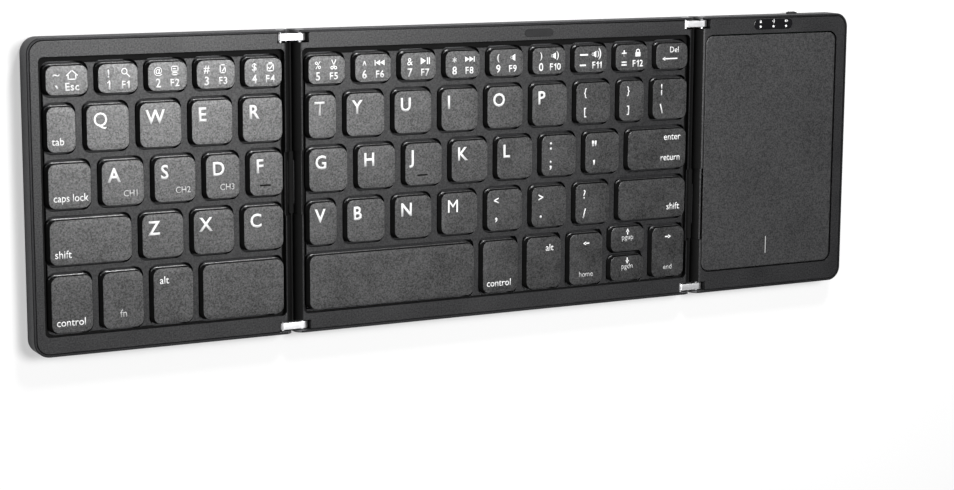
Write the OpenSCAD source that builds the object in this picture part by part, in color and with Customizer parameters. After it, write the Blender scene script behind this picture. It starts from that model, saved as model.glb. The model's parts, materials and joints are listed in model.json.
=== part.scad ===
// Folding keyboard with a touchpad. Three flat panels are joined by two double hinges,
// and both outer panels fold over onto the keys of the centre one.
// The model lies open and flat: X runs along the keyboard, +Y points away from the
// typist, +Z points up out of the keys, and the soles of the feet are at Z = 0.

/* [Panels] */
// Length of the left wing from its outer end to its hinge edge
left_len = 86; // [84.6:0.1:86.4]
// Length of the centre panel between its two hinge edges
centre_len = 151.9; // [151.5:0.1:153]
// Length of the right wing from its hinge edge to its outer end
right_len = 64.2; // [63.8:0.1:64.8]
// Size of every panel from front to back
panel_depth = 98; // [97.4:0.1:98.4]
// Thickness of one panel without its feet
panel_t = 7.4; // [7.3:0.05:7.6]
// Corner radius of the outer ends, seen from above
corner_r = 5; // [3.5:0.5:6.5]

/* [Cover] */
// Thickness of the metal side walls
wall_t = 0.75; // [0.6:0.05:0.8]
// Thickness of the metal back plate
back_t = 0.9; // [0.8:0.05:1]
// Bevel along the edge of the back plate
bevel = 0.4; // [0.2:0.05:0.5]
// Length of a rubber foot
foot_l = 12; // [8:0.5:16]
// Width of a rubber foot
foot_w = 2.5; // [2:0.1:4]
// Height of a rubber foot
foot_h = 0.6; // [0.5:0.1:0.8]

/* [Hinges] */
// Gap between two panels that lie flat
fold_gap = 1.2; // [1.1:0.1:1.4]
// Distance from a hinge pin to the edge of its panel
pin_inset = 2.8; // [2.7:0.05:2.9]
// Depth of a hinge pin below the key side of its panel
pin_drop = 3; // [2.9:0.05:3.1]
// Radius of a hinge pin
pin_r = 0.75; // [0.6:0.05:0.9]
// Radius of the head of a hinge pin
pin_head_r = 1.5; // [1.2:0.1:1.7]
// Radial play of a link bar on its pin
pin_play = 0.04; // [0.02:0.01:0.08]
// Radius of the rounded ends of a link bar
link_r = 1.9; // [1.6:0.1:1.9]
// Width of a link bar along the hinge
link_w = 2.3; // [2:0.1:2.4]
// Length of the cable bridge at the left hinge
left_bridge_l = 20; // [16:1:26]
// Length of the cable bridge at the right hinge
right_bridge_l = 24.8; // [16:0.2:26]

/* [Keys] */
// Corner radius of a key
key_r = 2.4; // [1.5:0.1:2.6]
// How far a key goes down
key_travel = 1.2; // [0.8:0.1:1.3]
// Depth of the key tops below the rim of the bezel
key_drop = 0.1; // [0:0.05:0.3]
// Height of a key cap
key_tall = 2; // [1.8:0.1:2]
// Gap around a key in its window
key_play = 0.3; // [0.2:0.05:0.4]
// Width of an ordinary letter key
key_w = 14.3; // [14:0.1:14.4]
// Depth of the letter rows
row_d = 14.4; // [14:0.1:14.5]
// Depth of the number row
number_d = 9.5; // [9:0.1:9.8]
// Depth of the row with the space bars
space_d = 18.2; // [17.5:0.1:18.4]

/* [Touchpad] */
// Size of the touchpad along the keyboard
pad_l = 56; // [50:0.5:56]
// Size of the touchpad from front to back
pad_d = 83.6; // [75:0.5:84]
// Corner radius of the touchpad
pad_r = 3; // [2:0.5:4]
// Play around the touchpad
pad_play = 0.4; // [0.3:0.05:0.6]

/* [Power] */
// How far the power switch slides
switch_travel = 2; // [1.5:0.1:2]
// Size of the battery along the keyboard
battery_l = 48; // [30:1:50]
// Size of the battery from front to back
battery_d = 38; // [25:1:44]
// Thickness of the battery
battery_t = 2.6; // [2:0.1:2.6]

/* [Hidden] */

$fn = 48;
over = 1; // how far a cut runs past a face
seam = 0.05; // gap between the cover's walls and what stands inside them

// Heights
base_z = foot_h;
floor_z = base_z + back_t;
top_z = base_z + panel_t;
pin_z = top_z - pin_drop;
web_top_z = top_z - 1.3;
web_t = 0.9;
web_z = web_top_z - web_t;
key_top_z = top_z - key_drop;
key_z = key_top_z - key_tall;
plate_z = base_z + 2;
plate_t = 0.6;
plate_d = 82;
plate_play = 0.4;
sheet_z = plate_z + plate_t;
sheet_t = 0.4;
dome_h = key_travel + 0.4;
board_z = base_z + 1.5;
board_t = 0.8;

// Feet, bosses and posts
foot_in = 9.5; // from the middle of a foot to the end of its panel
foot_side = 4.5; // from the middle of a foot to the front or back of its panel
post_r = 1.5;
post_y = 36;
lip_t = 1.2; // thickness of a bezel's skirt along the cover's walls
side_t = wall_t + seam + lip_t;

// Ends and edges along X
total_len = left_len + centre_len + right_len + 2 * fold_gap;
left_x = -total_len / 2;
left_edge = left_x + left_len;
centre_x0 = left_edge + fold_gap;
centre_x1 = centre_x0 + centre_len;
right_edge = centre_x1 + fold_gap;
right_x = total_len / 2;
left_fold = left_edge + fold_gap / 2;
right_fold = right_edge - fold_gap / 2;
half_depth = panel_depth / 2;

// Hinges
hinge_round = pin_inset;
pin_out = pin_inset + fold_gap / 2;
link_gap = 0.4;
link_y = half_depth - wall_t - link_gap - link_w / 2;
notch_in = wall_t + link_w + 1;
notch_round = link_r + 0.2;
pin_len = notch_in + 2.35;
head_t = 0.4;
boss_in = 7;
boss_l = 5.9;
beam_t = 3;
bridge_w = 2;
bridge_low = 1.4;
bridge_high = 0.4;
bridge_core_r = 2.2;
spine_w = 0.6;
ribbon_w = 14;
ribbon_t = 0.2;
ribbon_z = pin_z - 0.2;
left_bridge_y = 0;
right_bridge_y = -17;

// Wells that hold the keys
well_edge = 3.05; // from the fold line to the well
well_y0 = -42.85;
well_y1 = 43.2;
well_side = 3.55; // from the outer end of the left wing to the well
well_r = 1.6;
ledge = 0.8; // how far the web reaches under the bezel
ledge_play = 0.1;

// Rows of keys: the widths of the caps, from left to right
esc_w = 14;
number_w = 13.5;
tab_w = 9.8;
caps_w = 14.2;
narrow_w = 12.1;
left_shift_w = 26.9;
modifier_w = 13.9;
left_space_w = 28.4;
left_rows = [
    [esc_w, number_w, number_w, number_w, number_w],
    [tab_w, key_w, key_w, key_w, key_w],
    [caps_w, key_w, key_w, narrow_w, narrow_w],
    [left_shift_w, key_w, key_w, key_w],
    [modifier_w, modifier_w, modifier_w, left_space_w]];
half_w = 10.4;
bracket_w = 10.7;
slash_w = 14.7;
enter_w = 24.5;
right_shift_w = 28.1;
right_space_w = 60.9;
arrow_w = 14;
centre_rows = [
    [for (i = [0:8]) number_w + 0.1],
    [half_w, key_w, key_w, key_w, key_w, key_w, key_w, bracket_w, slash_w],
    [key_w, key_w, key_w, key_w, key_w, key_w, key_w, enter_w],
    [half_w, key_w, key_w, key_w, key_w, key_w, key_w, right_shift_w],
    [right_space_w, key_w, key_w, arrow_w, key_w, arrow_w]];
left_keys_x0 = left_x + 4.95;
left_keys_x1 = left_fold - 3.95;
centre_keys_x0 = left_fold + 4.4;
centre_keys_x1 = right_fold - 4;
row_depths = [number_d, row_d, row_d, row_d, space_d];
keys_y1 = 40.9;
keys_y0 = -41.9;
arrow_row = 4;
arrow_i = 4;
arrow_split = 1.1; // gap between the up and the down arrow key
up_raise = 1.25; // how far the up arrow key reaches above its row
bump_l = 3.8;
bump_w = 0.8;
bump_h = 0.2;
plunger_r = 1.2;
plunger_gap = 0.05;

// Pieces of the right wing
pad_x = right_fold + 3.8 + pad_l / 2;
pad_y = 0.55;
pad_top_z = top_z - 0.3;
pad_t = 1.6;
pad_flange = 0.6;
pad_flange_t = 0.5;
frame_rim_t = 1.8;
pad_board_t = 0.8;
led_x = 119.6;
led_y = 45.85;
led_pitch = 5.5;
led_l = 16.6;
led_w = 3.6;
led_t = 0.7;
light_pipe_r = 0.7;
light_y = 45.05;
usb_x = 99.8;
usb_w = 7.6;
usb_h = 2.6;
usb_d = 5.6;
usb_wall = 0.3;
port_l = 10.6;
port_h = 3.6;
knob_x = 130.2;
knob_l = 3.8;
knob_h = 1.6;
knob_out = 0.8;
switch_x = knob_x + switch_travel / 2;
switch_l = 8.6;
switch_d = 3.4;
switch_h = 2.1;
switch_z = board_z + board_t;
knob_z = switch_z + switch_h / 2;
buffer_x = 23.9;
buffer_y = 45.5;
buffer_l = 11;
buffer_w = 2.5;

// Sum of the first n values of a list
function sum(v, n) = n <= 0 ? 0 : v[n - 1] + sum(v, n - 1);
// Gap between the keys of a row that fills the length from x0 to x1
function row_gap(row, x0, x1) = (x1 - x0 - sum(row, len(row))) / (len(row) - 1);
// Gap between two rows
row_space = (keys_y1 - keys_y0 - sum(row_depths, 5)) / 4;
// Middle of key i of a row, along X
function key_x(row, i, x0, x1) = x0 + sum(row, i) + i * row_gap(row, x0, x1) + row[i] / 2;
// Middle of row r, along Y
function row_y(r) = keys_y1 - sum(row_depths, r) - r * row_space - row_depths[r] / 2;
// Every key as [x, y, width, depth], for row r of the left wing and of the centre panel
function left_key(r, i) = [key_x(left_rows[r], i, left_keys_x0, left_keys_x1), row_y(r),
    left_rows[r][i], row_depths[r]];
function centre_key(r, i) = [key_x(centre_rows[r], i, centre_keys_x0, centre_keys_x1),
    row_y(r), centre_rows[r][i], row_depths[r]];
arrow_top = row_y(arrow_row) + space_d / 2 + up_raise;
arrow_low = row_y(arrow_row) - space_d / 2;
arrow_d = (arrow_top - arrow_low - arrow_split) / 2;
arrow_x = centre_key(arrow_row, arrow_i)[0];
up_arrow = [arrow_x, arrow_top - arrow_d / 2, key_w, arrow_d];
down_arrow = [arrow_x, arrow_low + arrow_d / 2, key_w, arrow_d];
left_keys = [for (r = [0:4]) for (i = [0:len(left_rows[r]) - 1]) left_key(r, i)];
centre_keys = concat(
    [for (r = [0:3]) for (i = [0:len(centre_rows[r]) - 1]) centre_key(r, i)],
    [for (i = [0:5]) if (i != arrow_i) centre_key(arrow_row, i)], [up_arrow, down_arrow]);

// A rectangle with true round corners
module rounded_rect(l, d, r) {
    square([l - 2 * r, d], center = true);
    square([l, d - 2 * r], center = true);
    for (sx = [-1, 1], sy = [-1, 1])
        translate([sx * (l / 2 - r), sy * (d / 2 - r)]) circle(r);
}

// A bar with round ends, lying flat
module stadium(l, w) {
    square([l - w, w], center = true);
    for (s = [-1, 1]) translate([s * (l - w) / 2, 0]) circle(w / 2);
}

// Plan of a panel from x0 to x1, with the corner radius of each end
module panel_plan(x0, x1, d, r0, r1) {
    translate([x0 + r0, -d / 2]) square([x1 - x0 - r0 - r1, d]);
    if (r0 > 0) plan_end(x0 + r0, d, r0, -1);
    if (r1 > 0) plan_end(x1 - r1, d, r1, 1);
}

module plan_end(x, d, r, side) {
    translate([side > 0 ? x - over : x - r, r - d / 2]) square([r + over, d - 2 * r]);
    for (s = [-1, 1]) translate([x, s * (d / 2 - r)]) circle(r);
}

// Solid that cuts the key side of a hinge edge round, for an edge that faces side
module edge_round(edge, side, r) {
    pin_x = edge - side * r;
    translate([0, 0, top_z - r]) rotate([90, 0, 0])
        linear_extrude(panel_depth + 2 * over, center = true) difference() {
            translate([side > 0 ? pin_x : edge - over, 0]) square([r + over, r + over]);
            translate([pin_x, 0]) circle(r);
        }
}

// A hole or a shaft along Y, from the outer face at end (1 back, -1 front) inwards
module across(x, end, from, to, r) {
    translate([x, end * (half_depth - (from + to) / 2), pin_z]) rotate([90, 0, 0])
        cylinder(h = to - from, r = r, center = true);
}

// Holes for the two pins at a hinge edge
module pin_holes(edge, side) {
    pin_x = edge - side * pin_inset;
    for (end = [-1, 1]) {
        across(pin_x, end, -over, pin_len, pin_r);
        across(pin_x, end, -over, head_t, pin_head_r);
    }
}

// Bevel cutters along the outer edge of the back plate
module straight_bevel(x0, x1, end) {
    translate([(x0 + x1) / 2, end * half_depth, base_z]) rotate([45, 0, 0])
        cube([x1 - x0, bevel * sqrt(2), bevel * sqrt(2)], center = true);
}

module hinge_bevel(edge) {
    translate([edge, 0, base_z]) rotate([0, 45, 0])
        cube([bevel * sqrt(2), panel_depth + 2 * over, bevel * sqrt(2)], center = true);
}

module end_bevel(x, side) {
    translate([x, 0, base_z]) rotate([0, 45, 0])
        cube([bevel * sqrt(2), panel_depth - 2 * corner_r, bevel * sqrt(2)], center = true);
    for (end = [-1, 1])
        translate([x - side * corner_r, end * (half_depth - corner_r), base_z])
            rotate(side > 0 ? (end > 0 ? 0 : -90) : (end > 0 ? 90 : 180))
                rotate_extrude(angle = 90) translate([corner_r, 0])
                    rotate(45) square(bevel * sqrt(2), center = true);
}

// Posts on the back plate
module posts(xs, ys, h) {
    for (x = xs, y = ys) translate([x, y, floor_z - 0.1]) cylinder(h = h + 0.1, r = post_r);
}

module feet(x0, x1) {
    for (x = [x0 + foot_in, x1 - foot_in], end = [-1, 1])
        translate([x, end * (half_depth - foot_side), 0]) linear_extrude(foot_h)
            stadium(foot_l, foot_w);
}

// Pins of one hinge edge: a shaft and a flat head in the outer face
module pins(edge, side) {
    pin_x = edge - side * pin_inset;
    for (end = [-1, 1]) {
        across(pin_x, end, head_t / 2, pin_len, pin_r);
        across(pin_x, end, 0, head_t, pin_head_r);
    }
}

// The covers: a back plate with walls front and back, and at the outer ends
module cover_tray(x0, x1, r0, r1) {
    inner = panel_depth - 2 * wall_t;
    difference() {
        translate([0, 0, base_z]) linear_extrude(panel_t)
            panel_plan(x0, x1, panel_depth, r0, r1);
        translate([0, 0, floor_z]) linear_extrude(panel_t)
            panel_plan(r0 > 0 ? x0 + wall_t : x0 - over, r1 > 0 ? x1 - wall_t : x1 + over,
                inner, r0 > 0 ? r0 - wall_t : 0, r1 > 0 ? r1 - wall_t : 0);
        for (end = [-1, 1]) straight_bevel(x0 + r0, x1 - r1, end);
    }
}

module centre_cover() {
    color("#6e7074") {
        difference() {
            cover_tray(centre_x0, centre_x1, 0, 0);
            edge_round(centre_x0, -1, hinge_round);
            edge_round(centre_x1, 1, hinge_round);
            pin_holes(centre_x0, -1);
            pin_holes(centre_x1, 1);
            hinge_bevel(centre_x0);
            hinge_bevel(centre_x1);
        }
        posts([centre_x0 + 12, centre_x0 + 54, centre_x1 - 54, centre_x1 - 12],
            [-post_y, 0, post_y], plate_z - floor_z);
    }
}

module left_cover() {
    color("#6e7074") {
        difference() {
            cover_tray(left_x, left_edge, corner_r, 0);
            edge_round(left_edge, 1, hinge_round);
            pin_holes(left_edge, 1);
            hinge_bevel(left_edge);
            end_bevel(left_x, -1);
        }
        posts([left_x + 14, left_x + 43, left_edge - 14], [-post_y, 0, post_y], plate_z - floor_z);
    }
}

module right_cover() {
    color("#6e7074") {
        difference() {
            cover_tray(right_edge, right_x, 0, corner_r);
            edge_round(right_edge, -1, hinge_round);
            pin_holes(right_edge, -1);
            hinge_bevel(right_edge);
            end_bevel(right_x, 1);
            port_cut();
            knob_slot();
        }
        posts([right_edge + 7, right_x - 7], [24, 34], board_z - floor_z);
    }
}

// The charging port's mouth and the slot of the power switch, cut through the back wall
module port_cut() {
    translate([usb_x, half_depth, board_z + board_t + usb_h / 2]) rotate([90, 0, 0])
        linear_extrude(5, center = true) stadium(port_l, port_h);
}

module knob_slot() {
    translate([switch_x, half_depth, knob_z]) rotate([90, 0, 0])
        linear_extrude(5, center = true)
            square([knob_l + switch_travel + 0.6, knob_h + 0.4], center = true);
}

// The notch that the link bars turn in, at the hinge edge that faces side
module link_notches(edge, side) {
    pin_x = edge - side * pin_inset;
    for (end = [-1, 1]) {
        y = end * (half_depth - (notch_in - over) / 2);
        translate([pin_x, y, pin_z]) rotate([90, 0, 0])
            cylinder(h = notch_in + over, r = notch_round, center = true);
        translate([pin_x - (side > 0 ? notch_round : pin_inset + over), y, pin_z])
            translate([0, -(notch_in + over) / 2, 0])
                cube([notch_round + pin_inset + over, notch_in + over, pin_drop + over]);
        translate([pin_x + (side > 0 ? 0 : -pin_inset - over), y, pin_z - notch_round])
            translate([0, -(notch_in + over) / 2, 0])
                cube([pin_inset + over, notch_in + over, notch_round + over]);
    }
}

// The recess and the slot for the cable bridge and its ribbon in a hinge beam
module bridge_recess(edge, side, y, l) {
    pin_x = edge - side * pin_inset;
    translate([0, y, 0]) {
        translate([pin_x, 0, pin_z]) rotate([90, 0, 0])
            linear_extrude(l + 0.6, center = true) difference() {
                translate([side > 0 ? 0 : -pin_inset - over, -bridge_low - 0.3])
                    square([pin_inset + over, bridge_low + 0.3 + pin_drop + over]);
                circle(bridge_core_r);
            }
        translate([edge - side * 3, 0, ribbon_z + ribbon_t / 2])
            cube([8, ribbon_w + 0.6, ribbon_t + 0.4], center = true);
    }
}

// A frame that fills the tray: its rim carries the well, and a skirt stands on the plate
module bezel_blank(x0, x1, r0, r1) {
    grow = wall_t + seam;
    translate([0, 0, floor_z]) linear_extrude(top_z - floor_z)
        panel_plan(r0 > 0 ? x0 + grow : x0, r1 > 0 ? x1 - grow : x1,
            panel_depth - 2 * grow, r0 > 0 ? r0 - grow : 0, r1 > 0 ? r1 - grow : 0);
}

// The room under the rim, with thick beams and bosses at the hinge edges
module bezel_room(x0, x1, hinge0, hinge1, roof_z) {
    a = x0 + (hinge0 ? boss_l : side_t);
    b = x1 - (hinge1 ? boss_l : side_t);
    c = x0 + (hinge0 ? beam_t : side_t);
    d = x1 - (hinge1 ? beam_t : side_t);
    h = roof_z - floor_z + over;
    translate([a, side_t - half_depth, floor_z - over]) cube([b - a, panel_depth - 2 * side_t, h]);
    translate([c, boss_in - half_depth, floor_z - over]) cube([d - c, panel_depth - 2 * boss_in, h]);
}

// The well and the pocket below its rim that the web is pushed into
module well(x0, x1) {
    mid = [(x0 + x1) / 2, (well_y0 + well_y1) / 2];
    l = x1 - x0;
    d = well_y1 - well_y0;
    translate([mid[0], mid[1], web_z]) {
        linear_extrude(panel_t) rounded_rect(l, d, well_r);
        linear_extrude(web_t) square([l + 2 * ledge, d + 2 * ledge], center = true);
    }
}

module centre_bezel() {
    color("#1d1e20") difference() {
        bezel_blank(centre_x0, centre_x1, 0, 0);
        bezel_room(centre_x0, centre_x1, true, true, web_z);
        well(left_fold + well_edge, right_fold - well_edge);
        edge_round(centre_x0, -1, hinge_round);
        edge_round(centre_x1, 1, hinge_round);
        link_notches(centre_x0, -1);
        link_notches(centre_x1, 1);
        bridge_recess(centre_x0, -1, left_bridge_y, left_bridge_l);
        bridge_recess(centre_x1, 1, right_bridge_y, right_bridge_l);
        pin_holes(centre_x0, -1);
        pin_holes(centre_x1, 1);
        translate([buffer_x, buffer_y, top_z - 0.5]) linear_extrude(panel_t)
            stadium(buffer_l, buffer_w);
    }
}

module left_bezel() {
    color("#1d1e20") difference() {
        bezel_blank(left_x, left_edge, corner_r, 0);
        bezel_room(left_x, left_edge, false, true, web_z);
        well(left_x + well_side, left_fold - well_edge);
        edge_round(left_edge, 1, hinge_round);
        link_notches(left_edge, 1);
        bridge_recess(left_edge, 1, left_bridge_y, left_bridge_l);
        pin_holes(left_edge, 1);
    }
}

module right_frame() {
    color("#1d1e20") difference() {
        bezel_blank(right_edge, right_x, 0, corner_r);
        bezel_room(right_edge, right_x, true, false, top_z - frame_rim_t);
        translate([pad_x, pad_y, floor_z]) linear_extrude(panel_t)
            rounded_rect(pad_l + 2 * pad_play, pad_d + 2 * pad_play, pad_r + pad_play);
        edge_round(right_edge, -1, hinge_round);
        link_notches(right_edge, -1);
        bridge_recess(right_edge, -1, right_bridge_y, right_bridge_l);
        pin_holes(right_edge, -1);
        port_cut();
        knob_slot();
        translate([led_x, led_y, top_z - led_t]) linear_extrude(panel_t) stadium(led_l, led_w);
        light_pipes(light_pipe_r + 0.1, floor_z, top_z);
    }
}

// The webs: grids with a window for each key
module web(x0, x1, keys) {
    edge = ledge - ledge_play;
    translate([0, 0, web_z]) linear_extrude(web_t) difference() {
        translate([x0 - edge, well_y0 - edge])
            square([x1 - x0 + 2 * edge, well_y1 - well_y0 + 2 * edge]);
        for (k = keys) translate([k[0], k[1]])
            rounded_rect(k[2] + 2 * key_play, k[3] + 2 * key_play, key_r + key_play);
    }
}

module centre_web() {
    color("#17181a") web(left_fold + well_edge, right_fold - well_edge, centre_keys);
}

module left_web() {
    color("#17181a") web(left_x + well_side, left_fold - well_edge, left_keys);
}

// The steel plates that carry the key switches
module key_plate(x0, x1) {
    translate([x0, -plate_d / 2, plate_z]) cube([x1 - x0, plate_d, plate_t]);
}

module centre_key_plate() {
    color("#a9adb1")
        key_plate(centre_x0 + beam_t + plate_play, centre_x1 - beam_t - plate_play);
}

module left_key_plate() {
    color("#a9adb1") key_plate(left_x + side_t + plate_play, left_edge - beam_t - plate_play);
}

// The switch sheets: contact sheets with a rubber dome under each key
module switch_sheet(x0, x1, keys) {
    translate([x0, -plate_d / 2, sheet_z]) cube([x1 - x0, plate_d, sheet_t]);
    for (k = keys) translate([k[0], k[1], sheet_z + sheet_t])
        cylinder(h = dome_h, r1 = 2.8, r2 = 1.5);
}

module centre_switch_sheet() {
    color("#7c8790") switch_sheet(centre_x0 + beam_t + plate_play,
        centre_x1 - beam_t - plate_play, centre_keys);
}

module left_switch_sheet() {
    color("#7c8790") switch_sheet(left_x + side_t + plate_play,
        left_edge - beam_t - plate_play, left_keys);
}

module centre_feet() { color("#151515") feet(centre_x0, centre_x1); }
module left_feet() { color("#151515") feet(left_x, left_edge); }
module right_feet() { color("#151515") feet(right_edge, right_x); }

module centre_pins() {
    color("#d8dade") {
        pins(centre_x0, -1);
        pins(centre_x1, 1);
    }
}

module left_pins() { color("#d8dade") pins(left_edge, 1); }
module right_pins() { color("#d8dade") pins(right_edge, -1); }

// The link bars: one at each end of a hinge, turning on a pin of each panel
module link_bars(fold) {
    for (end = [-1, 1]) difference() {
        translate([fold, end * link_y, pin_z]) rotate([90, 0, 0])
            linear_extrude(link_w, center = true) stadium(2 * pin_out + 2 * link_r, 2 * link_r);
        for (s = [-1, 1]) translate([fold + s * pin_out, end * link_y, pin_z]) rotate([90, 0, 0])
            cylinder(h = link_w + over, r = pin_r + pin_play, center = true);
    }
}

module left_link_bars() { color("#dfe1e4") link_bars(left_fold); }
module right_link_bars() { color("#dfe1e4") link_bars(right_fold); }

// The spine that ties the two link bars together, with the bridge for the cable
module hinge_spine(fold, y, l) {
    reach = 2 * link_y - link_w;
    h = bridge_low + bridge_high;
    mid_z = pin_z + (bridge_high - bridge_low) / 2;
    difference() {
        union() {
            translate([fold, 0, mid_z]) cube([spine_w, reach, h], center = true);
            translate([fold, y, mid_z]) rotate([90, 0, 0])
                linear_extrude(l, center = true) rounded_rect(bridge_w, h, 0.6);
        }
        translate([fold, y, ribbon_z + ribbon_t / 2])
            cube([bridge_w + over, ribbon_w, ribbon_t], center = true);
    }
}

module left_hinge_spine() { color("#202123") hinge_spine(left_fold, left_bridge_y, left_bridge_l); }
module right_hinge_spine() { color("#202123") hinge_spine(right_fold, right_bridge_y, right_bridge_l); }

// The flexible ribbons, drawn between the pins of a hinge
module flex_ribbon(fold, y) {
    translate([fold, y, ribbon_z + ribbon_t / 2])
        cube([2 * pin_out - 0.2, ribbon_w, ribbon_t], center = true);
}

module left_flex_ribbon() { color("#b06a2c") flex_ribbon(left_fold, left_bridge_y); }
module right_flex_ribbon() { color("#b06a2c") flex_ribbon(right_fold, right_bridge_y); }

// The soft pad that the ends of the folded wings meet
module buffer_pad() {
    color("#0e0f10") translate([buffer_x, buffer_y, top_z - 0.5]) linear_extrude(0.6)
        stadium(buffer_l - 0.1, buffer_w - 0.1);
}

// The touchpad: a plate with a flange that holds it under the frame
module touchpad() {
    color("#3a3b3d") translate([pad_x, pad_y, pad_top_z - pad_t]) {
        linear_extrude(pad_t) rounded_rect(pad_l, pad_d, pad_r);
        translate([0, 0, -pad_flange_t]) linear_extrude(pad_flange_t)
            square([pad_l - 8, pad_d + 2 * pad_flange], center = true);
    }
}

module touchpad_board() {
    color("#1f5a38") translate([pad_x, pad_y, pad_top_z - pad_t - pad_flange_t - pad_board_t])
        linear_extrude(pad_board_t) square([pad_l - 6, pad_d - 8], center = true);
}

module main_board() {
    color("#1f5a38") {
        translate([right_edge + boss_l + 0.5, 20, board_z])
            cube([right_len - boss_l - 4.5, 26, board_t]);
        translate([right_x - 30, 24, board_z + board_t]) cube([7, 7, 1]);
        translate([right_x - 18, 26, board_z + board_t]) cube([4, 5, 0.8]);
        for (i = [-1, 0, 1]) translate([led_x + i * led_pitch - 0.8, light_y - 0.8, board_z + board_t])
            cube([1.6, 1.6, 0.5]);
    }
}

module battery() {
    color("#9a9ea4") translate([pad_x, -18, floor_z + battery_t / 2])
        cube([battery_l, battery_d, battery_t], center = true);
}

// The charging socket: a thin metal shell round a tongue
module usb_socket() {
    mouth_y = half_depth - 0.9;
    color("#c4c8cc") translate([usb_x, mouth_y, board_z + board_t + usb_h / 2]) rotate([90, 0, 0]) {
        difference() {
            linear_extrude(usb_d) rounded_rect(usb_w, usb_h, 0.6);
            translate([0, 0, -over]) linear_extrude(usb_d - usb_wall + over)
                rounded_rect(usb_w - 2 * usb_wall, usb_h - 2 * usb_wall, 0.4);
        }
        translate([0, 0.3, usb_d / 2 + 0.3]) cube([4.6, 0.7, usb_d - 0.8], center = true);
    }
}

// The power switch: a fixed body with a slot, and the knob that slides in it
module power_switch() {
    front = half_depth - 2.3;
    color("#3c3d40") difference() {
        translate([switch_x - switch_l / 2, front - switch_d, switch_z])
            cube([switch_l, switch_d, switch_h]);
        translate([switch_x - knob_l / 2 - switch_travel / 2, front - 1.6, knob_z - 0.5])
            cube([knob_l + switch_travel, 1.6 + over, 1]);
    }
}

module switch_knob() {
    inner = half_depth - 2.1;
    color("#101112") {
        translate([knob_x - knob_l / 2, inner, knob_z - knob_h / 2])
            cube([knob_l, half_depth + knob_out - inner, knob_h]);
        translate([knob_x - 0.9, inner - 1.4, knob_z - 0.4]) cube([1.8, 1.5, 0.8]);
    }
}

// The window over the indicator lights, with a light pipe to each
module light_pipes(r, z0, z1) {
    for (i = [-1, 0, 1]) translate([led_x + i * led_pitch, light_y, z0]) cylinder(h = z1 - z0, r = r);
}

module led_window() {
    color("#0b0c0d") {
        translate([led_x, led_y, top_z - led_t]) linear_extrude(led_t)
            stadium(led_l - 0.1, led_w - 0.1);
        light_pipes(light_pipe_r, board_z + board_t + 0.7, top_z - led_t + 0.1);
    }
}

// The keys: a cap and the plunger that pushes its dome
module key(k) {
    plunger_z = sheet_z + sheet_t + dome_h + plunger_gap;
    translate([k[0], k[1], key_z]) linear_extrude(key_tall) rounded_rect(k[2], k[3], key_r);
    translate([k[0], k[1], plunger_z]) cylinder(h = key_z - plunger_z + 0.1, r = plunger_r);
}

// The bump that marks the two home keys
module home_bump(k) {
    translate([k[0] - bump_l / 2, k[1] - k[3] / 2 + 3.1, key_top_z - 0.1])
        cube([bump_l, bump_w, bump_h + 0.1]);
}

module left_key_run(r, i0, i1) { color("#2e2f31") for (i = [i0:i1]) key(left_key(r, i)); }
module centre_key_run(r, i0, i1) { color("#2e2f31") for (i = [i0:i1]) key(centre_key(r, i)); }

module esc_key() { left_key_run(0, 0, 0); }
module number_keys_left() { left_key_run(0, 1, 4); }
module tab_key() { left_key_run(1, 0, 0); }
module letter_keys_left_top() { left_key_run(1, 1, 4); }
module caps_key() { left_key_run(2, 0, 0); }
module letter_keys_left_home() {
    left_key_run(2, 1, 4);
    color("#2e2f31") home_bump(left_key(2, 4));
}
module left_shift_key() { left_key_run(3, 0, 0); }
module letter_keys_left_bottom() { left_key_run(3, 1, 3); }
module left_ctrl_key() { left_key_run(4, 0, 0); }
module fn_key() { left_key_run(4, 1, 1); }
module left_alt_key() { left_key_run(4, 2, 2); }
module left_space_key() { left_key_run(4, 3, 3); }
module number_keys_centre() { centre_key_run(0, 0, 7); }
module delete_key() { centre_key_run(0, 8, 8); }
module letter_keys_centre_top() { centre_key_run(1, 0, 5); }
module letter_keys_centre_home() {
    centre_key_run(2, 0, 4);
    color("#2e2f31") home_bump(centre_key(2, 2));
}
module enter_key() { centre_key_run(2, 7, 7); }
module letter_keys_centre_bottom() { centre_key_run(3, 0, 3); }
module punctuation_keys() {
    centre_key_run(1, 6, 8);
    centre_key_run(2, 5, 6);
    centre_key_run(3, 4, 6);
}
module right_shift_key() { centre_key_run(3, 7, 7); }
module right_space_key() { centre_key_run(4, 0, 0); }
module right_ctrl_key() { centre_key_run(4, 1, 1); }
module right_alt_key() { centre_key_run(4, 2, 2); }
module left_arrow_key() { centre_key_run(4, 3, 3); }
module up_arrow_key() { color("#2e2f31") key(up_arrow); }
module down_arrow_key() { color("#2e2f31") key(down_arrow); }
module right_arrow_key() { centre_key_run(4, 5, 5); }

centre_cover();
left_cover();
right_cover();
centre_bezel();
left_bezel();
right_frame();
centre_web();
left_web();
centre_key_plate();
left_key_plate();
centre_switch_sheet();
left_switch_sheet();
centre_feet();
left_feet();
right_feet();
centre_pins();
left_pins();
right_pins();
left_link_bars();
right_link_bars();
left_hinge_spine();
right_hinge_spine();
left_flex_ribbon();
right_flex_ribbon();
buffer_pad();
touchpad();
touchpad_board();
main_board();
battery();
usb_socket();
power_switch();
switch_knob();
led_window();
esc_key();
number_keys_left();
tab_key();
letter_keys_left_top();
caps_key();
letter_keys_left_home();
left_shift_key();
letter_keys_left_bottom();
left_ctrl_key();
fn_key();
left_alt_key();
left_space_key();
number_keys_centre();
delete_key();
letter_keys_centre_top();
punctuation_keys();
letter_keys_centre_home();
enter_key();
letter_keys_centre_bottom();
right_shift_key();
right_space_key();
right_ctrl_key();
right_alt_key();
left_arrow_key();
up_arrow_key();
down_arrow_key();
right_arrow_key();
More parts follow.
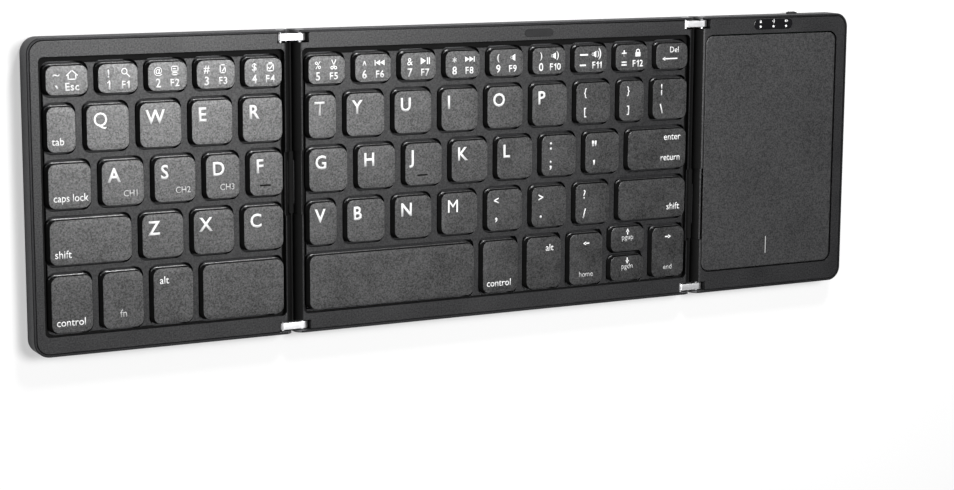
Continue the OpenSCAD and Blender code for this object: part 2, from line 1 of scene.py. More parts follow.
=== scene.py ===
# Folding keyboard with a touchpad: its looks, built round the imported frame.

import json
import math

import bmesh
import bpy
from mathutils import Matrix, Vector

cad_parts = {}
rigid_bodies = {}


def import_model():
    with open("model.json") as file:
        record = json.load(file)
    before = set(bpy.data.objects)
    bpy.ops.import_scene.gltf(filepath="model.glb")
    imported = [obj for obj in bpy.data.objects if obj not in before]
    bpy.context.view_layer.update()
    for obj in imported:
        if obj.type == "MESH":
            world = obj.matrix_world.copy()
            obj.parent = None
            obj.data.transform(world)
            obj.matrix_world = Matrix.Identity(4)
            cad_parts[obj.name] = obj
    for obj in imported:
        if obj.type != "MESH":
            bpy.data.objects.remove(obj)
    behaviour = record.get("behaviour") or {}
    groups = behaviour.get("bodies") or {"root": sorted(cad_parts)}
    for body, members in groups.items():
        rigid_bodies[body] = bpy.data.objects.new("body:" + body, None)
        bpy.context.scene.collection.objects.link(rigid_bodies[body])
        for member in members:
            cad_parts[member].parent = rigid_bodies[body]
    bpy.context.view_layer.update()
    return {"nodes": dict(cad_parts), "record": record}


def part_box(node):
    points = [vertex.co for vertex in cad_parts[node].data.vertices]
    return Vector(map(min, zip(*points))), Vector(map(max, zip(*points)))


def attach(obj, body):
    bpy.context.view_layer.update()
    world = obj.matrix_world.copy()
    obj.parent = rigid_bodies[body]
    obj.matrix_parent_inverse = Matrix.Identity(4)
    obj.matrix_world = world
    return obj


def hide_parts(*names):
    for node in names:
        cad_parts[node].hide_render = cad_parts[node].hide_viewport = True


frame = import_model()
nodes = frame["nodes"]
record = frame["record"]
bodyOf = {node: body for body, names in record["behaviour"]["bodies"].items() for node in names}
slotOf = {row["node"]: row["material_slot"] for row in record["subparts"]}
parentOf = {joint["child"]: joint["parent"] for joint in record["behaviour"]["joints"]}
mm = 0.001
scene = bpy.context.scene
scene.view_settings.view_transform = "Standard"
print("frame loaded with", len(nodes), "nodes")


# camera, standing where the photograph was taken from

cameraSpot = {
    "place": (-0.343976, 0.098380, 0.655066),
    "right": (0.883004, 0.004986, 0.469340),
    "up": (0.073512, 0.986134, -0.148780),
    "ahead": (0.463574, -0.165875, -0.870394),
    "lens": 83.53,  # mm
    "sensor": 36,  # mm wide
}


def clearSelection():
    if bpy.context.object and bpy.context.object.mode != "OBJECT":
        bpy.ops.object.mode_set(mode="OBJECT")
    bpy.ops.object.select_all(action="DESELECT")


def addCamera():
    clearSelection()
    bpy.ops.object.camera_add()
    eye = bpy.context.object
    back = [-v for v in cameraSpot["ahead"]]
    rows = zip(cameraSpot["right"], cameraSpot["up"], back, cameraSpot["place"])
    eye.matrix_world = Matrix([list(row) for row in rows] + [[0, 0, 0, 1]])
    eye.data.lens = cameraSpot["lens"]
    eye.data.sensor_width = cameraSpot["sensor"]
    eye.data.sensor_fit = "HORIZONTAL"
    scene.camera = eye
    print("camera placed")


# helpers for modelling by hand: pick, then extrude, inset, bevel

def activate(piece):
    clearSelection()
    piece.select_set(True)
    bpy.context.view_layer.objects.active = piece


def startEdit(piece, mode="FACE"):
    activate(piece)
    bpy.ops.object.mode_set(mode="EDIT")
    bpy.ops.mesh.select_mode(type=mode)
    bpy.ops.mesh.select_all(action="DESELECT")


def endEdit():
    bpy.ops.object.mode_set(mode="OBJECT")


def near(a, b):
    return abs(a - b) < 0.02 * mm


def runsAlong(axis):  # a test for edges that follow one axis
    others = [i for i in range(3) if "XYZ"[i] != axis]
    return lambda a, b: all(near(a[i], b[i]) for i in others)


def liesAt(axis, place):  # a test for edges at one height, depth or side
    i = "XYZ".index(axis)
    return lambda a, b: near(a[i], place) and near(b[i], place)


def pickWhere(kind, test):
    bpy.ops.mesh.select_mode(type=kind)
    bpy.ops.mesh.select_all(action="DESELECT")
    mesh = bpy.context.object.data
    shape = bmesh.from_edit_mesh(mesh)
    shape.normal_update()
    for element in shape.edges if kind == "EDGE" else shape.faces:
        if test(element):
            element.select_set(True)
    shape.select_flush_mode()
    bmesh.update_edit_mesh(mesh)


def pickEdges(test, angle=0):  # by their two ends, and by the degrees between their faces
    pickWhere("EDGE", lambda edge: test(edge.verts[0].co, edge.verts[1].co)
              and (not angle or edge.calc_face_angle(0) > math.radians(angle)))


def pickFaces(test):  # by their middle and normal
    pickWhere("FACE", lambda face: test(face.calc_center_median(), face.normal))


def bevelEdges(test, width, steps, angle=0):
    pickEdges(test, angle)
    bpy.ops.mesh.bevel(offset=width, segments=steps, affect="EDGES")


def bevelPiece(piece, *bevels):  # each one: which edges, how wide, in how many steps
    startEdit(piece)
    for bevel in bevels:
        bevelEdges(*bevel)
    endEdit()
    return piece


def extrudeBy(x, y, z):
    bpy.ops.mesh.extrude_region_move(TRANSFORM_OT_translate={"value": (x, y, z)})


def mergeDoubles(reach):
    bpy.ops.mesh.select_all(action="SELECT")
    bpy.ops.mesh.remove_doubles(threshold=reach)


def applyPlace(name):  # a new primitive gets its name, and its place goes into its mesh
    piece = bpy.context.object
    piece.name = piece.data.name = name
    bpy.ops.object.transform_apply(location=True, rotation=True, scale=True)
    return piece


def addBlock(name, low, high):
    clearSelection()
    middle = [(a + b) / 2 for a, b in zip(low, high)]
    size = [b - a for a, b in zip(low, high)]
    bpy.ops.mesh.primitive_cube_add(size=1, location=middle, scale=size)
    return applyPlace(name)


def addRod(name, middle, radius, length, axis="Z", sides=32):
    clearSelection()
    turn = (math.pi / 2 if axis == "Y" else 0, 0, 0)
    bpy.ops.mesh.primitive_cylinder_add(
        vertices=sides, radius=radius, depth=length, location=middle, rotation=turn)
    return applyPlace(name)


almostAll = 0.999  # of a half width, so that two round corners don't quite meet


def addStadium(name, low, high):  # a block with round ends
    half = min(high[0] - low[0], high[1] - low[1]) / 2
    return bevelPiece(addBlock(name, low, high), (runsAlong("Z"), half * almostAll, 8))


def copyPiece(piece, name):
    twin = piece.copy()
    twin.data = piece.data.copy()
    twin.name = twin.data.name = name
    scene.collection.objects.link(twin)
    return twin


def moveBy(piece, x, y, z=0):
    piece.data.transform(Matrix.Translation((x, y, z)))
    return piece


def turnBy(piece, degrees):
    piece.data.transform(Matrix.Rotation(math.radians(degrees), 4, "Z"))
    return piece


def growBy(piece, x, y):
    piece.data.transform(Matrix.Diagonal((x, y, 1, 1)))
    return piece


def spanOf(piece, axis):
    spots = [v.co[axis] for v in piece.data.vertices]
    return min(spots), max(spots)


def joinPieces(name, pieces):
    activate(pieces[0])
    for piece in pieces:
        piece.select_set(True)
    if len(pieces) > 1:
        bpy.ops.object.join()
    whole = bpy.context.object
    whole.name = whole.data.name = name
    return whole


def discard(piece):
    bpy.data.objects.remove(piece, do_unlink=True)


def cutWith(piece, cutters):
    for cutter in cutters:
        activate(piece)
        cut = piece.modifiers.new("cut", "BOOLEAN")
        cut.operation = "DIFFERENCE"
        cut.solver = "EXACT"
        cut.object = cutter
        bpy.ops.object.modifier_apply(modifier=cut.name)
        discard(cutter)


def softenEdges(piece, width, steps, angle):
    activate(piece)
    soften = piece.modifiers.new("soften", "BEVEL")
    soften.width = width
    soften.segments = steps
    soften.limit_method = "ANGLE"
    soften.angle_limit = math.radians(angle)
    bpy.ops.object.modifier_apply(modifier=soften.name)


def smoothPiece(piece, angle):
    activate(piece)
    bpy.ops.object.shade_smooth_by_angle(angle=math.radians(angle))
    level = piece.modifiers.new("even", "WEIGHTED_NORMAL")
    level.keep_sharp = True
    bpy.ops.object.modifier_apply(modifier=level.name)


def giveFinish(piece, *looks):
    piece.data.materials.clear()
    for look in looks:
        piece.data.materials.append(finish[look])
    return piece


def settle(piece, node, *looks, extra=False, smooth=38):  # an extra piece goes with its node
    if smooth:
        smoothPiece(piece, smooth)
    if looks:
        giveFinish(piece, *looks)
    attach(piece, bodyOf[node])
    if not extra:
        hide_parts(node)


# finishes, all from nodes on Object coordinates: colours in linear light, sizes in mm

finishLooks = {
    "keyGrain": {
        "dark": (0.003, 0.003, 0.003), "light": (0.028, 0.028, 0.029), "grain": 0.48,
        "depth": 0.015, "rough": (0.31, 0.36), "shine": 0.88, "sparkle": 0.45, "patch": 9.0},
    "bezelSatin": {
        "dark": (0.007, 0.007, 0.008), "light": (0.019, 0.019, 0.020), "grain": 0.5,
        "depth": 0.009, "rough": (0.38, 0.43), "shine": 0.39, "sparkle": 0.35, "patch": 14.0},
    "webSatin": {
        "dark": (0.006, 0.006, 0.007), "light": (0.013, 0.013, 0.014), "grain": 0.5,
        "depth": 0.008, "rough": (0.39, 0.45), "shine": 0.39, "sparkle": 0.35, "patch": 14.0},
    "padGrain": {
        "dark": (0.012, 0.012, 0.013), "light": (0.034, 0.034, 0.035), "grain": 0.5,
        "depth": 0.010, "rough": (0.39, 0.44), "shine": 0.58, "sparkle": 0.4, "patch": 22.0,
        "drift": 0.12},
    "coverMetal": {
        "dark": (0.115, 0.116, 0.120), "light": (0.185, 0.186, 0.191), "grain": 0.3,
        "depth": 0.006, "rough": (0.53, 0.56), "metal": 1.0, "patch": 40.0, "drift": 0.1},
    # a darker copy of the cover metal, for painted shade on the rim's top
    "rimShade": {
        "dark": (0.024, 0.024, 0.025), "light": (0.040, 0.040, 0.042), "grain": 0.3,
        "depth": 0.004, "rough": (0.50, 0.58), "metal": 1.0, "patch": 26.0},
    "cutEdge": {
        "dark": (0.58, 0.58, 0.59), "light": (0.72, 0.72, 0.73), "grain": 0.3, "depth": 0.001,
        "rough": (0.34, 0.42), "metal": 1.0, "patch": 8.0, "brush": (0.05, 1.0, 1.0)},
    "hingeSteel": {
        "dark": (0.66, 0.66, 0.67), "light": (0.82, 0.82, 0.83), "grain": 0.16, "depth": 0.002,
        "rough": (0.38, 0.46), "metal": 1.0, "patch": 4.0, "brush": (0.08, 1.0, 1.0)},
    "blackPlate": {  # the key plates, painted black; the black also stands in for painted shade in the gaps between the caps
        "dark": (0.006, 0.006, 0.007), "light": (0.014, 0.014, 0.015), "grain": 0.4,
        "depth": 0.004, "rough": (0.50, 0.62), "shine": 0.2, "patch": 20.0},
    # near-black, for painted shade: in gaps and hollows, along seams, at folds and on sides turned
    # from the lamps
    "deepShade": {
        "dark": (0.002, 0.002, 0.002), "light": (0.005, 0.005, 0.005), "grain": 0.3,
        "depth": 0.004, "rough": (0.62, 0.74), "shine": 0.12, "patch": 9.0},
    "footRubber": {
        "dark": (0.010, 0.010, 0.011), "light": (0.020, 0.020, 0.021), "grain": 0.18,
        "depth": 0.012, "rough": (0.66, 0.80), "shine": 0.35, "patch": 5.0},
    "smokedWindow": {
        "dark": (0.004, 0.004, 0.005), "light": (0.008, 0.008, 0.009), "grain": 0.5,
        "depth": 0.0, "rough": (0.10, 0.16), "shine": 0.5, "patch": 6.0},
    # grey silicone, kept dark so that it also serves as painted shade in the gaps between the caps
    "domeRubber": {
        "dark": (0.020, 0.020, 0.022), "light": (0.045, 0.045, 0.048), "grain": 0.4,
        "depth": 0.004, "rough": (0.45, 0.60), "shine": 0.3, "patch": 8.0},
    "boardGreen": {
        "dark": (0.004, 0.016, 0.009), "light": (0.012, 0.038, 0.022), "grain": 0.9,
        "depth": 0.006, "rough": (0.22, 0.34), "shine": 0.5, "patch": 3.0},
    "pouchFoil": {
        "dark": (0.36, 0.37, 0.39), "light": (0.50, 0.51, 0.53), "grain": 1.6, "depth": 0.03,
        "rough": (0.28, 0.42), "metal": 1.0, "patch": 6.0},
    "ribbonFilm": {
        "dark": (0.006, 0.006, 0.007), "light": (0.016, 0.016, 0.017), "grain": 0.5,
        "depth": 0.004, "rough": (0.34, 0.44), "shine": 0.3, "patch": 2.0,
        "brush": (0.02, 1.0, 1.0)},
    "socketShade": {
        "dark": (0.030, 0.030, 0.032), "light": (0.070, 0.070, 0.073), "grain": 0.4,
        "depth": 0.002, "rough": (0.34, 0.44), "metal": 1.0, "patch": 2.0},
    "knobPlastic": {
        "dark": (0.010, 0.010, 0.011), "light": (0.018, 0.018, 0.019), "grain": 0.15,
        "depth": 0.004, "rough": (0.34, 0.44), "shine": 0.5, "patch": 3.0},
    "whitePrint": {
        "dark": (0.80, 0.80, 0.80), "light": (0.90, 0.90, 0.90), "grain": 0.3, "depth": 0.002,
        "rough": (0.42, 0.52), "shine": 0.4, "patch": 5.0},
    "greyPrint": {
        "dark": (0.46, 0.46, 0.46), "light": (0.58, 0.58, 0.58), "grain": 0.3, "depth": 0.002,
        "rough": (0.42, 0.52), "shine": 0.4, "patch": 5.0},
}


finishNodes = {
    "fineDetail": 3.0,
    "broadDetail": 2.0,
    "noiseSpan": (0.3, 0.7),  # where nearly all of a noise lies
    "rampStops": (0.36, 0.64),
    "drift": 0.25,  # share of the slow change in tone, where a finish names none
    "shine": 0.5,
}


def feed(tree, node, inputs):  # each input gets a number or colour, or a link from another node
    for name, value in inputs.items():
        if isinstance(value, bpy.types.NodeSocket):
            tree.links.new(value, node.inputs[name])
        else:
            node.inputs[name].default_value = value


def addNode(tree, kind, inputs):
    node = tree.nodes.new("ShaderNode" + kind)
    feed(tree, node, inputs)
    return node


def noiseOf(tree, spot, size, detail):
    noise = addNode(tree, "TexNoise", {"Scale": 1 / (size * mm), "Detail": detail, "Vector": spot})
    return noise.outputs["Fac"]


def rangeOf(tree, value, toSpan, fromSpan=finishNodes["noiseSpan"]):
    span = addNode(tree, "MapRange", {
        "From Min": fromSpan[0], "From Max": fromSpan[1], "To Min": toSpan[0], "To Max": toSpan[1],
        "Value": value})
    return span.outputs["Result"]


def mathOf(tree, operation, *values):
    step = tree.nodes.new("ShaderNodeMath")
    step.operation = operation
    feed(tree, step, dict(enumerate(values)))
    return step.outputs[0]


def newMaterial(name):
    material = bpy.data.materials.new(name)
    material.use_nodes = True
    tree = material.node_tree
    return material, tree, tree.nodes["Principled BSDF"]


def makeFinish(name, look):
    material, tree, shader = newMaterial(name)
    spot = tree.nodes.new("ShaderNodeTexCoord").outputs["Object"]
    if "brush" in look:  # a grain drawn out along one axis
        spot = addNode(tree, "Mapping", {"Scale": look["brush"], "Vector": spot}).outputs["Vector"]
    fine = noiseOf(tree, spot, look["grain"], finishNodes["fineDetail"])
    broad = noiseOf(tree, spot, look["patch"], finishNodes["broadDetail"])
    drift = look.get("drift", finishNodes["drift"])  # mostly grain, with a slow drift in tone
    tone = mathOf(tree, "MULTIPLY_ADD", broad, drift, mathOf(tree, "MULTIPLY", fine, 1 - drift))
    ramp = addNode(tree, "ValToRGB", {"Fac": tone})
    for stop, place, colour in zip(ramp.color_ramp.elements, finishNodes["rampStops"],
                                   (look["dark"], look["light"])):
        stop.position = place
        stop.color = (*colour, 1)
    shine = look.get("shine", finishNodes["shine"])
    if "sparkle" in look:  # the grain glints unevenly
        spread = shine * look["sparkle"]
        shine = rangeOf(tree, fine, (shine - spread, shine + spread))
    feed(tree, shader, {
        "Metallic": look.get("metal", 0.0), "Base Color": ramp.outputs["Color"],
        "Roughness": rangeOf(tree, broad, look["rough"]), "Specular IOR Level": shine})
    if look["depth"]:
        bump = addNode(tree, "Bump", {
            "Strength": 1.0, "Distance": look["depth"] * mm, "Height": fine})
        feed(tree, shader, {"Normal": bump.outputs["Normal"]})
    return material


finish = {name: makeFinish(name, look) for name, look in finishLooks.items()}
print("finishes made:", len(finish))


# housings: the covers, bezels and webs get soft edges

housing = {
    "edge": 0.12 * mm,
    "steps": 2,
    "weld": 0.002 * mm,
    "flat": 1.0,  # degrees between triangles that are one face
    "sharp": 30.0,  # degrees from which an edge is softened
    "coverRim": (5.0 * mm, 0.24 * mm),  # the outline's corner radius, its eased edge's width
    "bezelRim": (4.2 * mm, 0.36 * mm),
    "rimSharp": 60.0,
    "rimSteps": 3,
    "rimSlack": 0.1 * mm,
    "rimDeep": 0.4 * mm,  # how far down the outline still counts as its edge
    "cutLine": (-0.92, -0.4, 1.2 * mm),  # normals of the bright line, and the height it ends at
    "coverTop": 7.75 * mm,  # the covers' rim lies above this
    "litFrom": -0.2,  # rim edges that lean further to the left get painted shade
    "level": 0.95,  # normals from which a face counts as level
    "foldLevel": 0.97,
    "foldShade": 3.9 * mm,  # how far from a fold the rounded edge gets painted shade
}


def mergeFlat(reach):  # triangles that lie in one plane become one face
    mergeDoubles(reach)
    bpy.ops.mesh.dissolve_limited(angle_limit=math.radians(housing["flat"]))


def weldedCopy(node, name):
    piece = bpy.data.objects.new(name, nodes[node].data.copy())
    piece.data.name = name
    scene.collection.objects.link(piece)
    startEdit(piece, "VERT")
    mergeFlat(housing["weld"])
    endEdit()
    return piece


def outlineTest(low, high, corner, reach):
    def test(v):
        dx = max(low.x + corner - v.x, v.x - high.x + corner, 0)
        dy = max(low.y + corner - v.y, v.y - high.y + corner, 0)
        return math.hypot(dx, dy) > corner - reach and v.z > high.z - housing["rimDeep"]
    return test


def rimCopy(node, name, rim):
    corner, width = rim
    low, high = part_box(node)
    piece = weldedCopy(node, name)
    outer = outlineTest(low, high, corner, housing["rimSlack"])
    top = liesAt("Z", high.z)
    bevelPiece(piece, (lambda a, b: outer(a) and outer(b) and top(a, b), width,
                       housing["rimSteps"], housing["rimSharp"]))
    softenEdges(piece, housing["edge"], housing["steps"], housing["sharp"])
    return piece, outlineTest(low, high, corner, width + housing["rimSlack"])


webShape = {
    "over": -0.1 * mm,  # how far the raised grid reaches past the outer keys
    "corner": 2.6 * mm,
    "cornerSteps": 8,
    "floor": 5.95 * mm,  # height of the sunk border round the grid
    "lit": 0.45 * mm,  # above the floor, the grid's own finish starts; below it the sunk border gets painted shade
    "clear": 1 * mm,  # how far the cutter reaches past the web
    "weld": 0.004 * mm,
    "edge": 0.12 * mm,
    "play": 0.35 * mm,  # a little over the gap round a key
    "widen": (0.42 * mm, -0.35 * mm),  # how much wider the windows open behind and before the keys
}


def widenWindows(keys):
    play = webShape["play"]
    rows = {(round(key["low"].y, 6), round(key["high"].y, 6)) for key in keys}
    for low, high in sorted(rows, key=lambda row: row[1] - row[0]):  # half-height keys first
        middle = (low + high) / 2
        for (start, end), move in zip(((middle, high + play), (low - play, middle)),
                                      webShape["widen"]):
            pickEdges(lambda a, b: start < a.y < end and start < b.y < end)
            bpy.ops.transform.translate(value=(0, move, 0))


def buildWeb(node):
    low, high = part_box(node)
    grid = weldedCopy(node, node + "_grid")
    keys = [box for key in bodyOf
            if slotOf[key] == "key_plastic" and parentOf[key] == bodyOf[node]
            for box in keyBoxes(key)]
    over, clear = webShape["over"], webShape["clear"]
    inner = addBlock("inner", (min(key["low"].x for key in keys) - over,
                               min(key["low"].y for key in keys) - over, low.z - clear),
                     (max(key["high"].x for key in keys) + over,
                      max(key["high"].y for key in keys) + over, high.z + 2 * clear))
    bevelPiece(inner, (runsAlong("Z"), webShape["corner"], webShape["cornerSteps"]))
    ring = addBlock("ring", (low.x - clear, low.y - clear, webShape["floor"]),
                    (high.x + clear, high.y + clear, high.z + clear))
    cutWith(ring, [inner])
    cutWith(grid, [ring])
    startEdit(grid)
    mergeFlat(webShape["weld"])
    widenWindows(keys)
    bevelEdges(liesAt("Z", high.z), webShape["edge"], 2, housing["sharp"])
    endEdit()
    return grid


def buildHousings():
    steepest, flattest, lineEnd = housing["cutLine"]
    for node in ("centre_cover", "left_cover", "right_cover"):
        shell, onEdge = rimCopy(node, node + "_shell", housing["coverRim"])
        settle(shell, node, "coverMetal", "cutEdge", "rimShade", "deepShade")
        for face in shell.data.polygons:
            up, spot = face.normal.z, face.center
            if steepest < up < flattest and spot.z < lineEnd:
                face.material_index = 1  # the diamond-cut line along the back plate
            elif up > 0.1 and spot.z > housing["coverTop"]:  # the rim: its top in painted shade, its eased edges by the seam and on the left in darker painted shade
                lit = onEdge(spot) and face.normal.x > housing["litFrom"]
                face.material_index = 2 if up > housing["level"] else 0 if lit else 3
    for node in ("centre_bezel", "left_bezel", "right_frame"):
        rim, onEdge = rimCopy(node, node + "_rim", housing["bezelRim"])
        settle(rim, node, "bezelSatin", "deepShade")
        low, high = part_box(node)
        folds = [x for x, side in ((low.x, "left"), (high.x, "right")) if not node.startswith(side)]
        for face in rim.data.polygons:  # painted shade on the edge by the cover's seam, widening that dark joint, and where it rounds at a fold
            fold = min(abs(face.center.x - x) for x in folds) < housing["foldShade"]
            steep = face.normal.z < housing["foldLevel" if fold else "level"]
            face.material_index = 1 if steep and (fold or onEdge(face.center)) else 0
    for node in ("centre_web", "left_web"):
        grid = buildWeb(node)
        settle(grid, node, "webSatin", "deepShade")
        # the sunk border round the grid gets painted shade
        for face in grid.data.polygons:
            lit = face.center.z > webShape["floor"] + webShape["lit"]
            face.material_index = 0 if lit else 1
    print("housings done")


# key caps: one is modelled for each size, and copied to its places

keyCap = {
    "skirt": 0.6 * mm,  # upright foot of the cap
    "lipTop": 0.81 * mm,
    "lipIn": (0.14, 0.02, 0.30, 0.03),  # mm the lip leans in: left, right, back, front
    "wallIn": (0.72, 0.03, 0.24, 0.12),  # and the wall above it
    "rimIn": 1.3 * mm,  # the face falls away a little towards its edge
    "rimDown": 0.018 * mm,
    "edge": 0.06 * mm,
    "corner": 2.5 * mm,
    "cornerSteps": 8,
    "crisp": 12,  # degrees from which an edge of the cap stays sharp
    "stemRadius": 1.2 * mm,
    "stemSides": 16,
    "stemEdge": 0.2 * mm,
    "sunk": 0.1 * mm,  # how far the stem and the bump reach into the cap
    "bump": (3.8 * mm, 0.56 * mm, 0.2 * mm),
    "bumpEdge": 0.14 * mm,
    "bumpUp": 3.1 * mm,  # from the front edge of the cap
    "shaded": (-0.55, 0.35),  # normals of the sides that get painted shade: to the left, and steep
}
capModels = {}


def keyBoxes(node):  # the box of each cap in a node, from the back row's left to the front right
    shape = bmesh.new()
    shape.from_mesh(nodes[node].data)
    bmesh.ops.remove_doubles(shape, verts=shape.verts, dist=housing["weld"])
    unseen = set(shape.verts)
    boxes = []
    while unseen:
        queue = [unseen.pop()]
        spots = []
        while queue:
            vert = queue.pop()
            spots.append(vert.co.copy())
            for edge in vert.link_edges:
                other = edge.other_vert(vert)
                if other in unseen:
                    unseen.discard(other)
                    queue.append(other)
        low = Vector([min(p[i] for p in spots) for i in range(3)])
        high = Vector([max(p[i] for p in spots) for i in range(3)])
        wall = [p.z for p in spots if near(p.x, low.x)]  # the cap without its stem or bump
        bump = high.z > max(wall) + 0.05 * mm
        foot = low.z
        low.z, high.z = min(wall), max(wall)
        boxes.append({"low": low, "high": high, "foot": foot, "bump": bump})
    shape.free()
    return sorted(boxes, key=lambda b: (-round((b["low"].y + b["high"].y) / mm), b["low"].x))


def raiseFace(outline, fromZ, toZ, leanIn):
    left, right, back, front = [v * mm for v in leanIn]
    x0, x1, y0, y1 = outline
    extrudeBy(0, 0, toZ - fromZ)
    still = (x0 + left * (x1 - x0) / (left + right), y0 + front * (y1 - y0) / (front + back), toZ)
    shrink = (1 - (left + right) / (x1 - x0), 1 - (front + back) / (y1 - y0), 1)
    bpy.ops.transform.resize(value=shrink, center_override=still)
    return x0 + left, x1 - right, y0 + front, y1 - back


def modelCap(wide, deep, tall, stem):
    cap = addBlock("cap", (-wide / 2, -deep / 2, 0), (wide / 2, deep / 2, keyCap["skirt"]))
    shoulder = tall - keyCap["rimDown"]
    startEdit(cap)
    bevelEdges(runsAlong("Z"), keyCap["corner"], keyCap["cornerSteps"])
    pickFaces(lambda c, n: n.z > 0.9)
    outline = (-wide / 2, wide / 2, -deep / 2, deep / 2)
    outline = raiseFace(outline, keyCap["skirt"], keyCap["lipTop"], keyCap["lipIn"])
    raiseFace(outline, keyCap["lipTop"], shoulder, keyCap["wallIn"])
    bpy.ops.mesh.inset(thickness=keyCap["rimIn"], depth=keyCap["rimDown"])
    bevelEdges(liesAt("Z", shoulder), keyCap["edge"], 2)
    endEdit()
    sunk = keyCap["sunk"]
    post = addRod("stem", (0, 0, -stem / 2 + sunk), keyCap["stemRadius"], stem + 2 * sunk,
                  sides=keyCap["stemSides"])
    bevelPiece(post, (liesAt("Z", -stem), keyCap["stemEdge"], 2))
    return joinPieces("cap", [cap, post])


def modelBump():
    long, wide, tall = keyCap["bump"]
    bump = addBlock("bump", (-long / 2, 0, -keyCap["sunk"]), (long / 2, wide, tall))
    return bevelPiece(bump, (runsAlong("Z"), wide * 0.49, 4),
                      (liesAt("Z", tall), keyCap["bumpEdge"], 3))


def buildCaps(node):
    caps = []
    for box in keyBoxes(node):
        low, high = box["low"], box["high"]
        wide, deep, tall = (high - low)
        size = (round(wide / mm, 2), round(deep / mm, 2))
        if size not in capModels:
            capModels[size] = modelCap(wide, deep, tall, low.z - box["foot"])
        x, y = (low.x + high.x) / 2, (low.y + high.y) / 2
        caps.append(moveBy(copyPiece(capModels[size], node), x, y, low.z))
        if box["bump"]:
            caps.append(moveBy(modelBump(), x, low.y + keyCap["bumpUp"], high.z))
    whole = joinPieces(node + "_caps", caps)
    settle(whole, node, "keyGrain", "deepShade", smooth=keyCap["crisp"])
    leftward, upright = keyCap["shaded"]
    for face in whole.data.polygons:  # the steep sides and the front of a bump get painted shade
        steep = face.normal.x < leftward or abs(face.normal.z) < upright
        onBump = face.center.z > high.z + 0.02 * mm and face.normal.y < 0.3
        face.material_index = 1 if steep or onBump else 0


# legends: plain letters, figures and signs, printed on the caps

printing = {
    "thick": 0.03 * mm,
    "sunk": 0.008 * mm,
    "weld": 0.004 * mm,
    "inset": (0.86, 0.05, 0.54, 0.15),  # mm from foot to face: left, right, back, front
    "wide": 0.94,  # of the letters' own width
    "narrow": {"caps lock": 0.88},
    "curves": 3,  # steps in a letter's curves
    "bold": 0.018,
    "wordBold": 0.005,
    "thin": "QM@#&%?*",  # letters whose outlines can't be made bolder
    "greyWords": ("channel", "fnWord", "arrowWord", "halfArrowWord"),
    "signFigures": {"`": 1.0, "=": 1.5},  # these are set as signs, with this height
    "flag": (0.16, 0.42, 0.75, 0.28, 40),  # of a 1: mm to its left, mm down, long, thick, turn
    "space": 0.14,  # between figures, of their height
    "dashThick": 0.55,
    "arrowThick": 0.42 * mm,
    "arrowHead": 1.3 * mm,
    "halfKey": 10 * mm,  # keys that are less deep get a smaller arrow
    "line": 0.3,  # mm, in rings and frames
    "slant": 0.32,
}
places = {  # mm from a face's left (below 0 from its right, at 0 in its middle), mm from its top
    "letter": (1.95, 6.4, 4.2),  # (below 0 from its front), and mm tall or long
    "word": (1.35, -2.1, 2.3),
    "rightWord": (-2.2, -2.7, 2.3),
    "upperWord": (-2.2, -9.9, 2.3),
    "highWord": (1.95, 4.75, 2.3),
    "highRightWord": (-3.0, 4.75, 2.3),
    "channel": (-1.6, -2.6, 1.9),
    "fnWord": (0, -3.4, 2.3),
    "sign": (3.45, 3.5, 0),  # the tables below give the height of signs
    "lowSign": (3.45, 10.1, 0),
    "numberSign": (3.25, 2.85, 0),
    "figure": (3.25, 6.4, 2.6),
    "dash": (3.6, 2.85, 3.2),
    "lowDash": (3.2, 6.4, 2.4),
    "label": (-3.9, 6.45, 2.2),
    "icon": (-3.9, 2.75, 0),
    "escLabel": (-4.9, 6.4, 2.3),
    "escIcon": (-4.9, 2.75, 0),
    "deleteWord": (-5.4, 2.2, 2.0),
    "deleteArrow": (-7.2, 5.3, 6.2),
    "arrow": (0, 3.3, 2.5),
    "arrowWord": (0, -2.6, 1.8),
    "halfArrow": (0, 1.6, 2.2),
    "halfArrowWord": (0, 4.4, 1.8),
}
inkHeight = {}


def measureInk():
    clearSelection()
    bpy.ops.object.text_add()
    bpy.context.object.data.body = "H"
    bpy.ops.object.convert(target="MESH")
    sample = bpy.context.object
    inkHeight["H"] = spanOf(sample, 1)[1]
    discard(sample)


def addWords(words, x, y, z, tall, align="LEFT", ink="whitePrint"):
    clearSelection()
    bpy.ops.object.text_add()
    text = bpy.context.object
    text.data.body = words
    text.data.align_x = align
    text.data.resolution_u = printing["curves"]
    if words not in printing["thin"]:
        text.data.offset = printing["bold" if len(words) == 1 else "wordBold"]
    bpy.ops.object.convert(target="MESH")
    text = bpy.context.object
    grow = tall / inkHeight["H"]
    growBy(text, grow * printing["narrow"].get(words, printing["wide"]), grow)
    startEdit(text)
    mergeDoubles(printing["weld"])
    bpy.ops.mesh.normals_make_consistent(inside=False)
    extrudeBy(0, 0, printing["thick"])
    bpy.ops.mesh.select_all(action="SELECT")
    bpy.ops.mesh.normals_make_consistent(inside=False)
    endEdit()
    moveBy(text, x, y, z - printing["sunk"])
    return giveFinish(text, ink)


def spotOn(box, style):
    left, right, back, front = [v * mm for v in printing["inset"]]
    low, high = box["low"], box["high"]
    left, right, back, front = low.x + left, high.x - right, high.y - back, low.y + front
    side, down, size = [v * mm for v in places[style]]
    x = left if side > 0 else right if side < 0 else (left + right) / 2
    return x + side, (back if down > 0 else front) - down, high.z, size


def putWords(box, words, style):
    side = places[style][0]
    align = "LEFT" if side > 0 else "RIGHT" if side < 0 else "CENTER"
    ink = "greyPrint" if style in printing["greyWords"] else "whitePrint"
    return addWords(words, *spotOn(box, style), align, ink)


def putSign(box, words, style, tall=None):  # as tall as it says, with its middle at the place
    x, y, top, size = spotOn(box, style)
    size = tall * mm if tall else size
    sign = addWords(words, 0, 0, 0, size)
    low, high = spanOf(sign, 1)
    grow = size / (high - low)
    growBy(sign, grow, grow)
    left, right = spanOf(sign, 0)
    return moveBy(sign, x - (left + right) / 2, y - (low + high) / 2 * grow,
                  top - printing["sunk"])


